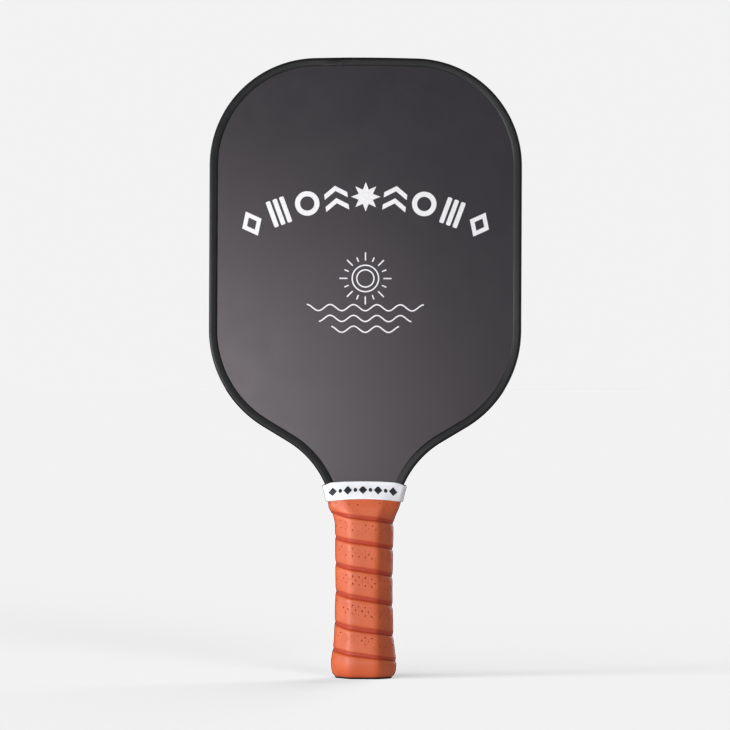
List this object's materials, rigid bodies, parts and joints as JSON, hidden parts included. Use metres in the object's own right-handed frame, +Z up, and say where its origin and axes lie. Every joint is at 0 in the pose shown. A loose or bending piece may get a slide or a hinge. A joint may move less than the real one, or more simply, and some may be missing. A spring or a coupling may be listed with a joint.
{
  "type": "pickleball paddle",
  "caption": "Flat racket with a honeycomb-cored rounded head, a two-strip edge guard, a rubber collar and a spiral-wrapped octagonal handle.",
  "frame": {"origin": "centre of the butt end, the flat foot of the handle", "axes": "+Z up the handle to the top of the head, +X across the head, -Y out of the printed front face"},
  "size_m": [0.203, 0.0334, 0.403],
  "materials": {
    "core": "matte extruded polypropylene",
    "bond_film": "cured adhesive film",
    "face": "satin painted fibre laminate with a fine grit",
    "edge_tape": "foam mounting tape",
    "guard": "satin moulded plastic",
    "shell": "moulded plastic",
    "butt_cap": "moulded plastic",
    "staple": "drawn wire",
    "grip": "soft perforated polyurethane with a fine grain",
    "finishing_tape": "vinyl tape",
    "collar": "smooth elastic rubber",
    "face_print": "screen-printed ink",
    "collar_print": "screen-printed ink"
  },
  "bodies": {
    "root": {"honeycomb_core": "core", "front_bond_film": "bond_film", "back_bond_film": "bond_film", "front_face_sheet": "face", "back_face_sheet": "face", "edge_tape_left": "edge_tape", "edge_tape_right": "edge_tape", "edge_guard_left": "guard", "edge_guard_right": "guard", "handle_shell_front": "shell", "handle_shell_back": "shell", "butt_cap": "butt_cap", "butt_cap_staples": "staple", "grip_tape": "grip", "finishing_tape": "finishing_tape", "rubber_collar": "collar"}
  },
  "joints": []
}
